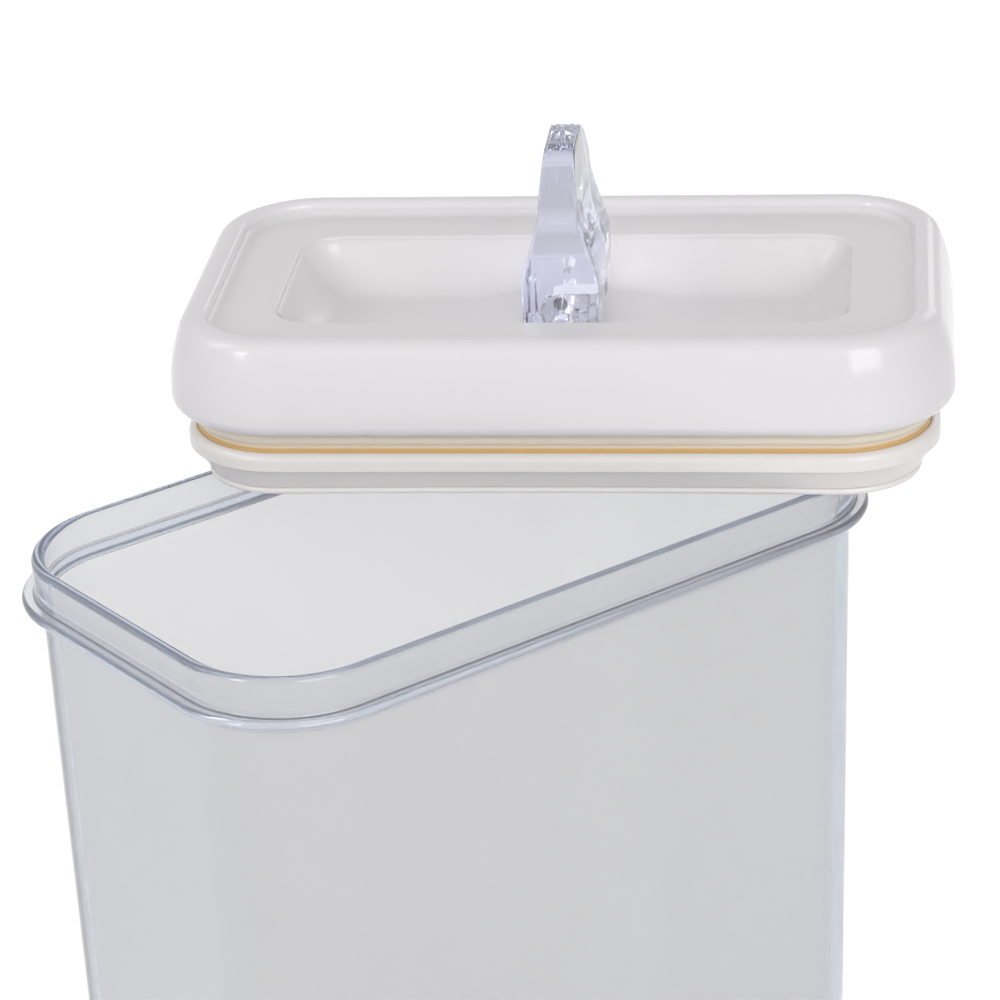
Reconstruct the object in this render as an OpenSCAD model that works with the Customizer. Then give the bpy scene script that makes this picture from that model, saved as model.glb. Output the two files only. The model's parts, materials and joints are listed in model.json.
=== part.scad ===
// Clear storage container with an airtight lid that a flip lever clamps shut.
// The container stands on its underside, centred on the origin, with +Z up and its long side along X.
// The lid lies loose and askew on the rim with its lever upright, as it is left after opening.
// Lid pieces are drawn about the lid's own centre, with height zero at the lid's lowest face.

/* [Container] */
// Length of the collar at the mouth, outside
mouth_len = 190; // [160:1:240]
// Width of the collar at the mouth, outside
mouth_wid = 113; // [100:0.5:150]
// Radius of the upright corners at the collar, outside
corner_rad = 28; // [26:0.5:32]
// Height from the underside to the top of the rim
body_h = 240; // [120:1:320]
// Thickness of the collar wall
collar_wall = 3.1; // [2.4:0.1:3.4]
// Depth of the collar, from the rim down to the flange
collar_h = 9.4; // [6:0.2:14]
// How far the flange stands out from the collar
flange_out = 3; // [1.5:0.1:5]
// Thickness of the flange
flange_t = 2.6; // [1.8:0.1:4]
// How far the body wall steps in from the collar, outside
body_step = 1.6; // [0.8:0.1:2]
// Thickness of the body wall
body_wall = 2.4; // [1.6:0.1:3]
// Slope of the body wall, in millimetres inward for each millimetre down
draft = 0.016; // [0:0.002:0.03]
// Thickness of the floor of the container
floor_t = 3.4; // [2:0.1:6]
// Radius of the rounded bottom edge, outside
foot_rad = 5; // [3:0.5:7]

/* [Lid cover] */
// How far the widest part of the cover stays inside the collar's outline
cover_inset = 0.2; // [0:0.1:2]
// Height of the cover from its lowest edge to its crest
cover_h = 23.1; // [20:0.1:26]
// Wall thickness of the cover
cover_wall = 2.4; // [1.8:0.1:2.6]
// Radius of the roll at the foot of the cover
roll_rad = 3.4; // [3:0.1:5]
// Radius of the gently bowed side of the cover
bow_rad = 46; // [36:1:80]
// Radius of the shoulder at the top of the cover
shoulder_rad = 4.6; // [4:0.1:5.5]
// Width of the raised rim round the tray, from its inner edge to the shoulder's top
rim_wid = 2.6; // [2.4:0.1:4]
// Radius of the rim's rounded inner edge
rim_roll = 2; // [1:0.1:2.4]
// How far the tray's ledge lies below the crest of the rim
ledge_drop = 3.5; // [2.6:0.1:4]

/* [Lid tray] */
// Length of the pocket at its edge
pocket_len = 139; // [125:1:142]
// Width of the pocket at its edge
pocket_wid = 59.5; // [58:0.5:64]
// Depth of the pocket below the ledge
pocket_deep = 11.7; // [10:0.1:12.4]
// Radius of the pocket's corners in plan
pocket_rad = 10; // [9:0.5:12]
// Radius of the curve from the pocket's wall to its floor
cove_rad = 8.4; // [4:0.2:9]
// Wall thickness of the tray
tray_t = 2.2; // [1.6:0.1:2.4]
// Radius of the pocket's rounded edge
edge_rad = 0.8; // [0.6:0.1:2]

/* [Flip lever] */
// Width of the lever across the lid
lever_wid = 42; // [36:0.5:43]
// Height of the lever above its pin
lever_up = 42.8; // [36:0.1:50]
// Half thickness of the lever's foot
foot_half = 9.4; // [9.2:0.1:10.2]
// Half thickness of the lever's neck, above its shoulders
neck_half = 4.8; // [4:0.1:5.6]
// Half thickness of the lever near its tip
tip_half = 3.7; // [3:0.1:4]
// Radius of the lever's top corners, seen from the end of the lid
tip_rad = 15; // [8:0.5:18]
// Radius of the pin that the lever turns on
pin_rad = 3; // [2.4:0.1:3.2]
// Height of the pin above the pocket's floor, with the lever upright
pin_up = 5.8; // [5.6:0.1:6.2]
// Angle that the lever folds through
fold_deg = 90; // [80:1:90]

/* [Press plate and seal] */
// Height of the lip's underside above the lid's lowest face
lip_up = 7.8; // [7:0.1:10]
// Thickness of the rounded lip
lip_t = 4.6; // [4:0.1:5]
// Clearance between the lip and the mouth of the container
lip_clear = 0.6; // [0.5:0.1:2]
// How far the foot of the plate's slanted skirt stays inside the lip's edge
skirt_inset = 4.6; // [4:0.1:6]
// Thickness of the cap that closes the skirt, and of its rounded edge
cap_t = 1.8; // [1.4:0.1:2.6]
// Wall thickness of the plate, its skirt and the deck
plate_t = 2.4; // [1.8:0.1:2.6]
// Free height of the seal
seal_h = 5.5; // [4.8:0.1:6.5]
// Width of the seal's section
seal_wid = 2.8; // [2.2:0.1:3.4]
// Length of the stem's section along the lid
stem_len = 9; // [7:0.2:9.4]
// Width of the stem's section across the lid
stem_wid = 9.6; // [8:0.2:12]
// Thickness of the foot that joins the stem to the plate
stem_foot_t = 3.4; // [2.8:0.1:3.8]
// Distance of each spring from the lid's centre
spring_out = 50; // [30:1:55]
// Middle radius of a spring's coil
coil_rad = 5; // [4.6:0.1:6]
// Radius of the spring's wire
wire_rad = 0.5; // [0.3:0.05:0.6]

/* [Screws] */
// Radius of the screws' threads
screw_rad = 1.25; // [1:0.05:1.4]
// Radius of the screws' heads
head_rad = 2.8; // [2.2:0.1:3]
// Height of the screws' heads
head_h = 1.5; // [1.2:0.1:1.6]
// Length of the screws' shanks
shank_len = 8; // [6:0.5:9]

/* [How the lid lies] */
// Place of the lid's centre along the container's long side
lid_x = 53.4; // [0:0.2:60]
// Place of the lid's centre across the container
lid_y = 19.8; // [0:0.1:24]
// Turn of the lid from the container's long side
lid_turn = -43.3; // [-45:0.1:-35]

/* [Hidden] */

// How far cuts and joined solids run past each other
lap = 1;

// Clearances
rest_gap = 0.1;     // lid's lowest face to the container's rim
seam_gap = 0.2;     // between fixed pieces that meet at a visible seam
cam_gap = 0.15;     // lever's foot to the pocket's floor
slide_gap = 0.3;    // stem to the slots that guide it
turn_gap = 0.06;    // pin to the stem's eye
press_gap = 0.02;   // pin to the lever, and screws to their pilot holes
cheek_gap = 0.4;    // stem's eye to the lever's cheeks

// Corner centres of the container's outline, shared by the lid
core_x = mouth_len / 2 - corner_rad;
core_y = mouth_wid / 2 - corner_rad;

// Container heights and radii, with radii measured from the corner centres
flange_top = body_h - collar_h;
flange_low = flange_top - flange_t;
mouth_rad = corner_rad - collar_wall;
body_top_rad = corner_rad - body_step;
body_low_rad = body_top_rad - draft * (flange_low - foot_rad);
crest_rad = collar_wall / 2;
inner_foot = foot_rad - 1;
collar_fillet = 0.8;
collar_ramp = 1.2;

// Lid heights
lip_top = lip_up + lip_t;
cover_low = lip_top + seal_h + rest_gap;
cover_top = cover_low + cover_h;
ledge_top = cover_top - ledge_drop;
shelf_top = ledge_top - tray_t;
shelf_low = shelf_top - tray_t;
pocket_floor = ledge_top - pocket_deep;
deck_low = cover_low;
deck_top = deck_low + plate_t;
pin_z = pocket_floor + pin_up;

// Lid radii, measured from the corner centres
cover_rad = corner_rad - cover_inset;
shoulder_mid = cover_top - shoulder_rad;
bow_mid = cover_low + roll_rad;
bow_turn = asin((shoulder_mid - bow_mid) / (bow_rad - shoulder_rad));
shoulder_x = cover_rad - bow_rad + (bow_rad - shoulder_rad) * cos(bow_turn);
rim_in = shoulder_x - rim_wid;
rim_wall = 2;
shelf_wid = 4;
shelf_in = rim_in - shelf_wid;
cover_foot_in = cover_rad - roll_rad - seam_gap;
deck_rad = cover_foot_in - seam_gap;
lip_rad = mouth_rad - lip_clear;
lip_round = 1.8;
lip_under = 0.6;
lip_step = 1.2;
skirt_rad = lip_rad - skirt_inset;
cap_out = 0.2;
cap_rad = skirt_rad + cap_out;
hold_wid = 2;
hold_h = 3;

// Seal: its place on the lip, its groove, the bulge outside and the notch inside
seal_inset = 2.2;
seal_out = lip_rad - seal_inset;
seal_in = seal_out - seal_wid;
seal_sink = 1.2;
groove_gap = 0.1;
bulge_out = 0.5;
bulge_rad = 3.1;
bulge_turn = 40;
notch_deep = 1.1;
notch_half = 1.4;

// Pocket outline
pocket_x = pocket_len / 2 - pocket_rad;
pocket_y = pocket_wid / 2 - pocket_rad;
wall_lean = 0.6;
cove_under = 0.5;
cove = min(cove_rad, pocket_rad - wall_lean - cove_under, (pocket_wid - lever_wid) / 2 - wall_lean + cove_under);

// Lever and its cam: the foot is the involute that lifts the pin evenly as the lever folds
cam_low = pin_up - cam_gap;
lift = foot_half - cam_low;
cam_rate = lift / (fold_deg * PI / 180);
shoulder_start = 10;
shoulder_end = 31;
tip_round = 1.1;
heel_cut = 1;
cam_steps = 10;
profile_steps = 14;
pin_short = 0.8;
slot_half = stem_wid / 2 + cheek_gap;
eye_rad = 5.4;
eye_gap = 0.3;
relief_rad = 1.7;
relief_deep = 7;
relief_up = 7;

// Stem, plate and springs
plate_low = lip_up;
plate_top = plate_low + plate_t;
stem_foot = [30, 26];
stem_screw_at = [11, 9];
coil_gap = 1;
post_rad = coil_rad - wire_rad - coil_gap;
cup_top = pocket_floor - tray_t - seam_gap;
cup_roof = 1.2;
cup_wall = 1.6;
cup_in = coil_rad + wire_rad + coil_gap;
cup_out = cup_in + cup_wall;
coil_turns = 6;
coil_steps = 12;
wire_sides = 6;
coil_low = plate_top + wire_rad;
coil_high = cup_top - cup_roof - wire_rad;
post_gap = 0.6;
post_h = cup_top - cup_roof - plate_top - lift - post_gap;

// Screws that hold the deck up to the cover
boss_rad = 3.5;
boss_x = 52;
boss_over = 1.5;
boss_y = core_y + shelf_in + boss_over;
boss_at = [for (sx = [-1, 0, 1], sy = [-1, 1]) [sx * boss_x, sy * boss_y]];
pilot_deep = shank_len + lap;
socket_rad = 1.4;
socket_deep = 0.9;
screw_short = 0.4;

// Facets of the large corners, of the spring cups and the stem's eye, and of small round features
round_fn = 96;
cup_fn = 48;
small_fn = 32;

// Points along an arc in a section, from one angle to another, without the first few
function arc(mid, rad, from, to, steps = 6, skip = 0) =
    [for (i = [skip:steps])
        let (a = from + (to - from) * i / steps)
        mid + rad * [cos(a), sin(a)]];

// Draws a section all the way round a rounded rectangle, given its corner centres
module around(cx, cy) {
    for (sx = [0, 1], sy = [0, 1])
        mirror([sx, 0, 0]) mirror([0, sy, 0]) translate([cx, cy, 0])
            rotate_extrude(angle = 90, $fn = round_fn) children();
    for (sy = [0, 1])
        mirror([0, sy, 0]) translate([-cx, cy, 0]) rotate([90, 0, 90])
            linear_extrude(2 * cx) children();
    for (sx = [0, 1])
        mirror([sx, 0, 0]) translate([cx, cy, 0]) rotate([90, 0, 0])
            linear_extrude(2 * cy) children();
}

// A level slab with rounded corners, given its corner centres
module slab(cx, cy, rad, low, high) {
    translate([0, 0, low]) linear_extrude(high - low) {
        square([2 * cx + 2 * rad, 2 * cy], center = true);
        square([2 * cx, 2 * cy + 2 * rad], center = true);
        for (sx = [-1, 1], sy = [-1, 1])
            translate([sx * cx, sy * cy]) circle(rad, $fn = round_fn);
    }
}

// Puts a lid piece where the lid lies on the rim
module on_rim() {
    translate([lid_x, lid_y, body_h + rest_gap]) rotate([0, 0, lid_turn]) children();
}

// A screw with its head down and its shank up, with a six-sided socket in the head
module screw(shank) {
    difference() {
        union() {
            cylinder(r = head_rad, h = head_h, $fn = small_fn);
            cylinder(r = screw_rad, h = head_h + shank, $fn = small_fn);
        }
        translate([0, 0, -lap]) cylinder(r = socket_rad, h = socket_deep + lap, $fn = 6);
    }
}

// Wall of the container in section, from the floor's edge to the rounded rim and back down inside
module container_section() {
    polygon(concat(
        [[0, 0]],
        arc([body_low_rad - foot_rad, foot_rad], foot_rad, -90, 0),
        [[body_top_rad, flange_low]],
        arc([corner_rad + flange_out - flange_t / 2, flange_low + flange_t / 2], flange_t / 2, -90, 90),
        [[corner_rad + collar_fillet, flange_top], [corner_rad, flange_top + collar_fillet]],
        arc([corner_rad - crest_rad, body_h - crest_rad], crest_rad, 0, 180, 10),
        [[mouth_rad, flange_low + collar_ramp], [body_top_rad - body_wall, flange_low - collar_ramp]],
        arc([body_low_rad - body_wall - inner_foot, floor_t + inner_foot], inner_foot, 0, -90),
        [[0, floor_t]]
    ));
}

module container_body() {
    color([0.86, 0.9, 0.95, 0.4]) {
        around(core_x, core_y) container_section();
        translate([-core_x, -core_y, 0]) cube([2 * core_x, 2 * core_y, floor_t]);
    }
}

// Cover in section: bowed outside, raised rim, shelf for the tray, and the same curves inside
module cover_section() {
    foot_x = cover_rad - roll_rad;
    bow_x = cover_rad - bow_rad;
    polygon(concat(
        [[cover_foot_in, cover_low]],
        arc([foot_x, bow_mid], roll_rad, -90, 0, 8),
        arc([bow_x, bow_mid], bow_rad, 0, bow_turn, 6, 1),
        arc([shoulder_x, shoulder_mid], shoulder_rad, bow_turn, 90, 8, 1),
        arc([rim_in + rim_roll, cover_top - rim_roll], rim_roll, 90, 180),
        [[rim_in, shelf_top], [shelf_in, shelf_top], [shelf_in, shelf_low]],
        [[rim_in + rim_wall, shelf_low], [rim_in + rim_wall, cover_top - cover_wall]],
        arc([shoulder_x, shoulder_mid], shoulder_rad - cover_wall, 90, bow_turn),
        arc([bow_x, bow_mid], bow_rad - cover_wall, bow_turn, 0, 6, 1),
        arc([foot_x, bow_mid], roll_rad - cover_wall, 0, -90, 5, 1),
        [[cover_foot_in, cover_low + cover_wall]]
    ));
}

module lid_cover() {
    color("white") on_rim() difference() {
        union() {
            around(core_x, core_y) cover_section();
            for (b = boss_at)
                translate([b[0], b[1], deck_top])
                    cylinder(r = boss_rad, h = shelf_low - deck_top + lap, $fn = small_fn);
        }
        for (b = boss_at)
            translate([b[0], b[1], deck_top - lap])
                cylinder(r = screw_rad + press_gap, h = pilot_deep + lap, $fn = small_fn);
    }
}

// Pocket in section, measured from the pocket's corner centres
module pocket_section() {
    cove_mid = pocket_floor + cove;
    cove_x = pocket_rad - wall_lean - cove;
    edge_x = pocket_rad + edge_rad;
    polygon(concat(
        [[0, pocket_floor - tray_t]],
        arc([cove_x, cove_mid], cove + tray_t, -90, 0, 8),
        [[pocket_rad + tray_t, shelf_top], [edge_x + lap, shelf_top], [edge_x + lap, ledge_top]],
        arc([edge_x, ledge_top - edge_rad], edge_rad, 90, 180),
        arc([cove_x, cove_mid], cove, 0, -90, 8),
        [[0, pocket_floor]]
    ));
}

module lid_tray() {
    color("whitesmoke") on_rim() difference() {
        union() {
            difference() {
                slab(core_x, core_y, rim_in - seam_gap, shelf_top, ledge_top);
                slab(pocket_x, pocket_y, pocket_rad + edge_rad + lap / 2, shelf_top - lap, ledge_top + lap);
            }
            around(pocket_x, pocket_y) pocket_section();
            translate([-pocket_x, -pocket_y, pocket_floor - tray_t])
                cube([2 * pocket_x, 2 * pocket_y, tray_t]);
        }
        translate([0, 0, pocket_floor - tray_t / 2])
            cube([stem_len + 2 * slide_gap, stem_wid + 2 * slide_gap, 2 * tray_t], center = true);
    }
}

module lid_deck() {
    color("gainsboro") on_rim() difference() {
        union() {
            slab(core_x, core_y, deck_rad, deck_low, deck_top);
            for (s = [-1, 1])
                translate([s * spring_out, 0, deck_low])
                    cylinder(r = cup_out, h = cup_top - deck_low, $fn = cup_fn);
        }
        for (s = [-1, 1])
            translate([s * spring_out, 0, deck_low - lap])
                cylinder(r = cup_in, h = cup_top - cup_roof - deck_low + lap, $fn = cup_fn);
        translate([0, 0, deck_low + plate_t / 2])
            cube([stem_len + 2 * slide_gap, stem_wid + 2 * slide_gap, 2 * plate_t], center = true);
        for (b = boss_at)
            translate([b[0], b[1], deck_low - lap]) {
                cylinder(r = screw_rad + slide_gap, h = plate_t + 2 * lap, $fn = small_fn);
                cylinder(r = head_rad + slide_gap, h = head_h + lap, $fn = small_fn);
            }
    }
}

module deck_screws() {
    color("silver") on_rim()
        for (b = boss_at)
            translate([b[0], b[1], deck_low]) screw(shank_len);
}

// Half thickness of the lever at a height above its pin
function lever_half(s) =
    s < shoulder_start ? foot_half :
    s < shoulder_end ? neck_half + (foot_half - neck_half)
        * (1 + cos(180 * (s - shoulder_start) / (shoulder_end - shoulder_start))) / 2 :
    neck_half + (tip_half - neck_half) * (s - shoulder_end) / (lever_up - shoulder_end);

// A point of the cam, where it meets the floor when the lever has turned by an angle
function cam_point(turn) =
    (cam_low + cam_rate * turn * PI / 180) * [sin(turn), -cos(turn)] + cam_rate * [cos(turn), sin(turn)];

// Side view of the lever about its pin, with height as Y
module lever_profile() {
    tip_top = lever_up - tip_round;
    heights = [for (i = [0:profile_steps]) shoulder_start + (tip_top - shoulder_start) * i / profile_steps];
    polygon(concat(
        [[-foot_half + heel_cut, -cam_low]],
        [for (turn = [0:fold_deg / cam_steps:fold_deg]) cam_point(turn)],
        [for (s = heights) [lever_half(s), s]],
        arc([lever_half(tip_top) - tip_round, tip_top], tip_round, 0, 90, 3),
        arc([-lever_half(tip_top) + tip_round, tip_top], tip_round, 90, 180, 3),
        [for (i = [profile_steps:-1:0]) [-lever_half(heights[i]), heights[i]]],
        [[-foot_half, -cam_low + heel_cut]]
    ));
}

// View of the lever from the end of the lid about its pin, with height as Y
module lever_front() {
    half = lever_wid / 2;
    translate([-half, -cam_low - lap]) square([lever_wid, lever_up + cam_low + lap - tip_rad]);
    translate([tip_rad - half, 0]) square([lever_wid - 2 * tip_rad, lever_up]);
    for (s = [-1, 1])
        translate([s * (half - tip_rad), lever_up - tip_rad]) circle(tip_rad, $fn = round_fn);
}

module flip_lever() {
    reach = foot_half + 2 * lap;
    color([0.8, 0.86, 0.97, 0.45]) on_rim() translate([0, 0, pin_z]) difference() {
        intersection() {
            translate([0, lever_wid / 2, 0]) rotate([90, 0, 0]) linear_extrude(lever_wid) lever_profile();
            translate([-reach, 0, 0]) rotate([90, 0, 90]) linear_extrude(2 * reach) lever_front();
        }
        rotate([90, 0, 0])
            cylinder(r = pin_rad + press_gap, h = lever_wid + 2 * lap, center = true, $fn = small_fn);
        translate([-eye_rad - eye_gap, -slot_half, -cam_low - lap])
            cube([reach + eye_rad, 2 * slot_half, cam_low + lap + eye_rad + eye_gap]);
        for (s = [-1, 1])
            translate([0, s * (lever_wid + lap - relief_deep) / 2, relief_up]) rotate([90, 0, 0])
                cylinder(r = relief_rad, h = relief_deep + lap, center = true, $fn = small_fn);
    }
}

module lever_pin() {
    color("lightgray") on_rim() translate([0, 0, pin_z]) rotate([90, 0, 0])
        cylinder(r = pin_rad, h = lever_wid - pin_short, center = true, $fn = small_fn);
}

module pull_stem() {
    color("white") on_rim() difference() {
        union() {
            translate([-stem_foot[0] / 2, -stem_foot[1] / 2, plate_top])
                cube([stem_foot[0], stem_foot[1], stem_foot_t]);
            translate([-stem_len / 2, -stem_wid / 2, plate_top])
                cube([stem_len, stem_wid, pin_z - plate_top]);
            translate([0, 0, pin_z]) rotate([90, 0, 0])
                cylinder(r = eye_rad, h = stem_wid, center = true, $fn = cup_fn);
        }
        translate([0, 0, pin_z]) rotate([90, 0, 0])
            cylinder(r = pin_rad + turn_gap, h = stem_wid + 2 * lap, center = true, $fn = small_fn);
        for (sx = [-1, 1], sy = [-1, 1])
            translate([sx * stem_screw_at[0], sy * stem_screw_at[1], plate_top - lap])
                cylinder(r = screw_rad + press_gap, h = stem_foot_t + 2 * lap, $fn = small_fn);
    }
}

module stem_screws() {
    color("silver") on_rim()
        for (sx = [-1, 1], sy = [-1, 1])
            translate([sx * stem_screw_at[0], sy * stem_screw_at[1], plate_low - head_h])
                screw(plate_t + stem_foot_t - screw_short);
}

// Plate in section: underside, slanted skirt, rounded lip, the groove that the seal sits in, and inner floor
module plate_section() {
    skirt_low = cap_t + seam_gap;
    skirt_top_in = lip_rad - lip_step - plate_t;
    polygon(concat(
        [[0, plate_low], [skirt_top_in, plate_low], [skirt_rad - plate_t, skirt_low]],
        [[skirt_rad, skirt_low], [lip_rad - lip_step, lip_up]],
        arc([lip_rad - lip_under, lip_up + lip_under], lip_under, -90, 0, 4),
        arc([lip_rad - lip_round, lip_top - lip_round], lip_round, 0, 90),
        [[seal_out + groove_gap, lip_top], [seal_out + groove_gap, lip_top - seal_sink]],
        [[seal_in - groove_gap, lip_top - seal_sink], [seal_in - groove_gap, lip_top]],
        [[seal_in - plate_t, lip_top], [seal_in - plate_t, plate_top], [0, plate_top]]
    ));
}

module press_plate() {
    color("white") on_rim() difference() {
        union() {
            around(core_x, core_y) plate_section();
            translate([-core_x, -core_y, plate_low]) cube([2 * core_x, 2 * core_y, plate_t]);
            for (s = [-1, 1])
                translate([s * spring_out, 0, plate_low])
                    cylinder(r = post_rad, h = plate_t + post_h, $fn = small_fn);
        }
        for (sx = [-1, 1], sy = [-1, 1])
            translate([sx * stem_screw_at[0], sy * stem_screw_at[1], plate_low - lap])
                cylinder(r = screw_rad + slide_gap, h = plate_t + 2 * lap, $fn = small_fn);
    }
}

// Cap in section: floor with a rounded edge, and the low wall that is held inside the plate's skirt
module cap_section() {
    half = cap_t / 2;
    hold_out = skirt_rad - plate_t - seam_gap;
    polygon(concat(
        [[0, 0]],
        arc([cap_rad - half, half], half, -90, 90, 8),
        [[hold_out, cap_t], [hold_out, cap_t + hold_h]],
        [[hold_out - hold_wid, cap_t + hold_h], [hold_out - hold_wid, cap_t], [0, cap_t]]
    ));
}

module plate_cap() {
    color("white") on_rim() {
        around(core_x, core_y) cap_section();
        translate([-core_x, -core_y, 0]) cube([2 * core_x, 2 * core_y, cap_t]);
    }
}

// Seal in section: a soft bulb with a notch in its inner side, so that it bulges outward when squeezed
module seal_section() {
    low = lip_top - seal_sink;
    high = lip_top + seal_h;
    mid = lip_top + seal_h / 2;
    polygon(concat(
        [[seal_in, low], [seal_out, low], [seal_out, lip_top]],
        arc([seal_out + bulge_out - bulge_rad, mid], bulge_rad, -bulge_turn, bulge_turn),
        [[seal_out, high], [seal_in, high]],
        [[seal_in, mid + notch_half], [seal_in + notch_deep, mid], [seal_in, mid - notch_half]]
    ));
}

module seal_gasket() {
    color("wheat") on_rim() around(core_x, core_y) seal_section();
}

// Points of the spring's wire, as rings round a helix
function coil_mid(i) =
    let (n = coil_turns * coil_steps, a = 360 * i / coil_steps)
    [coil_rad * cos(a), coil_rad * sin(a), coil_low + (coil_high - coil_low) * i / n];
function coil_ring(i) =
    let (a = 360 * i / coil_steps, c = coil_mid(i))
    [for (k = [0:wire_sides - 1])
        let (b = 360 * k / wire_sides)
        c + wire_rad * [cos(b) * cos(a), cos(b) * sin(a), sin(b)]];

module coil() {
    rings = coil_turns * coil_steps;
    points = [for (i = [0:rings]) each coil_ring(i)];
    sides = [for (i = [0:rings - 1], k = [0:wire_sides - 1])
        let (a = i * wire_sides + k, b = i * wire_sides + (k + 1) % wire_sides)
        each [[a, b, a + wire_sides], [b, b + wire_sides, a + wire_sides]]];
    start = [[for (k = [wire_sides - 1:-1:0]) k]];
    end = [[for (k = [0:wire_sides - 1]) rings * wire_sides + k]];
    polyhedron(points, concat(sides, start, end), convexity = 8);
}

module plate_springs() {
    color("silver") on_rim()
        for (s = [-1, 1])
            translate([s * spring_out, 0, 0]) coil();
}

container_body();
lid_cover();
lid_tray();
lid_deck();
deck_screws();
flip_lever();
lever_pin();
pull_stem();
stem_screws();
press_plate();
plate_cap();
seal_gasket();
plate_springs();
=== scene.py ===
"""Looks of a clear storage container and its airtight lid with a flip lever, built round the frame."""
import json
import math

import bmesh
import bpy
from mathutils import Matrix, Vector


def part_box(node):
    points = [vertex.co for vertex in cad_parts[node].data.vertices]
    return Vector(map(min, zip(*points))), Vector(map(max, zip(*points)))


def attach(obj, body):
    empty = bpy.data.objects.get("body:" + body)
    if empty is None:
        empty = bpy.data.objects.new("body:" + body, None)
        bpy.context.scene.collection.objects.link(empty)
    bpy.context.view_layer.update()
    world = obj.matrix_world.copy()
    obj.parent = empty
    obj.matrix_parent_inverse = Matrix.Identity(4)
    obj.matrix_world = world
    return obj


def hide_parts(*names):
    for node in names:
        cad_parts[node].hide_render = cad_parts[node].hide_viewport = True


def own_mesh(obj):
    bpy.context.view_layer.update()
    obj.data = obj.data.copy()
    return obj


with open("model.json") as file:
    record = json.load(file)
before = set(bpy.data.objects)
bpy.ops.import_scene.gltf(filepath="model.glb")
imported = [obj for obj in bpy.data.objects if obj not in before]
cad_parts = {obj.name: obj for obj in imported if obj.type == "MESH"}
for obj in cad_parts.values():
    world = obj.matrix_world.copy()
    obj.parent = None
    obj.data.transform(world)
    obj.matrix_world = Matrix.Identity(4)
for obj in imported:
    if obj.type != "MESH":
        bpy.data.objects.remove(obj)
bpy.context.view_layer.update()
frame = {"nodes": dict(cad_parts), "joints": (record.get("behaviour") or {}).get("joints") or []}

MM = 0.001

# Driving sizes in millimetres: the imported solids' own, and the scene's for its smaller forms
CORE = (67.0, 28.5)
CORNER_RAD = 28.0
COLLAR_WALL = 3.1
COLLAR_H = 9.4
FLANGE_OUT = 3.0
FLANGE_T = 2.6
BODY_STEP = 1.6
BODY_WALL = 2.4
DRAFT = 0.016
STEP_BLEND = 1.2
FLOOR_T = 3.4
FOOT_RAD = 5.0
INNER_FOOT = 4.0
STAND_WID = 4.0
RECESS = 0.6
RECESS_SLOPE = 1.0
CORNER_THICK = 0.7
CORNER_START = 1.1
RIM_NEAR = 0.1

COVER_RAD = 27.8
COVER_WALL = 2.4
ROLL_RAD = 3.4
BOW_RAD = 46.0
SHOULDER_RAD = 4.6
RIM_WID = 2.6
RIM_ROLL = 2.0
RIM_WALL = 2.0
SHELF_WID = 4.0
SEAM_GAP = 0.2
GROOVE_GAP = 0.1

POCKET_CORE = (59.5, 19.75)
POCKET_RAD = 10.0
COVE_RAD = 8.4
END_COVE = 15.0
COVE_LEAN = 30
SIDE_COVE = 5.5
FOOT_ROOM = (13.0, 27.0)
RIM_SPREAD = 2.0
EDGE_RAD = 0.8
EDGE_FLAT = 1.0
FLOOR_IN = 0.6
TRAY_T = 2.2
TRAY_LAP = 0.15
TUCK_WID = 0.4
TUCK_H = 0.6
WALL_LEAN = 0.6
SLOT_HALF = (4.8, 5.1)
SLOT_RAD = 0.6
SLOT_EDGE = 0.3
UNDER_START = 0.5

LIP_RAD = 24.3
LIP_T = 4.6
LIP_ROUND = 1.8
LIP_UNDER = 0.6
LIP_STEP = 1.2
PLATE_START = 4.0
SKIRT_RAD = 19.7
CAP_T = 1.8
CAP_RAD = 19.9
HOLD_WID = 2.0
HOLD_H = 3.0
PLATE_T = 2.4
PLATE_BOW = 0.7
SPRING_OUT = 50.0
COIL_RAD = 5.0
COIL_TURNS = 6
WIRE_RAD = 0.5
POST_RAD = 3.5
SEAL_SINK = 1.2
SEAL_WID = 2.8
SEAL_INSET = 2.2
SEAL_FOOT_UP = 0.3
NECK_IN = 0.6
NECK_UP = (0.7, 1.5)
BULB_RAD = 1.6
BULB_IN = 0.2
BULB_UP = 3.5
BULB_TURNS = (-62, 80)
NOTCH_UP = (1.6, 2.8, 4.0)
NOTCH_DEEP = 1.0

LEVER_HALF_WID = 21.0
LEVER_UP = 42.8
FOOT_HALF = 9.4
NECK_HALF = 4.8
TIP_HALF = 3.7
TIP_RAD = 15.0
TIP_ROUND = 1.1
SIDE_ROUND = 1.0
CAM_LOW = 5.65
CAM_LIFT = 3.75
SHOULDER_START = 10.0
SHOULDER_END = 31.0
HEEL_CUT = 1.0
PIN_RAD = 3.02
EYE_ROOM = (5.7, 5.2)
SLOT_LAP = 0.5
EYE_TUCK = 0.05
RELIEF_RAD = 1.02
RELIEF_TAPER = 1.8
RELIEF_DEEP = 7.0
RELIEF_UP = 7.0
OVERCUT = 1.0

# Edge rounding of each section, and the share of a side that it takes at most
CONTAINER_SOFT = 0.7
COVER_SOFT = 0.4
PLATE_SOFT = 0.3
SEAL_SOFT = 0.35
MOST_REACH = 0.45

# Bends in degrees that stay as they are in a section, and smooth in the lever's shading
SMOOTH_BEND = 25
SHARP_TURN = 40


# Heights and places read from the frame, in millimetres

def level(node, side):
    """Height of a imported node's underside, for side 0, or of its top, for side 1."""
    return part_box(node)[side].z / MM


RIM_TOP = level("container_body", 1)
COVER_LOW = level("lid_cover", 0)
COVER_TOP = level("lid_cover", 1)
LEDGE_TOP = level("lid_tray", 1)
TRAY_LOW = level("lid_tray", 0)
LID_LOW = level("plate_cap", 0)
LIP_TOP = level("seal_gasket", 0) + SEAL_SINK
LIP_LOW = LIP_TOP - LIP_T
SEAL_TOP = level("seal_gasket", 1)
POST_TOP = level("press_plate", 1)

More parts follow.
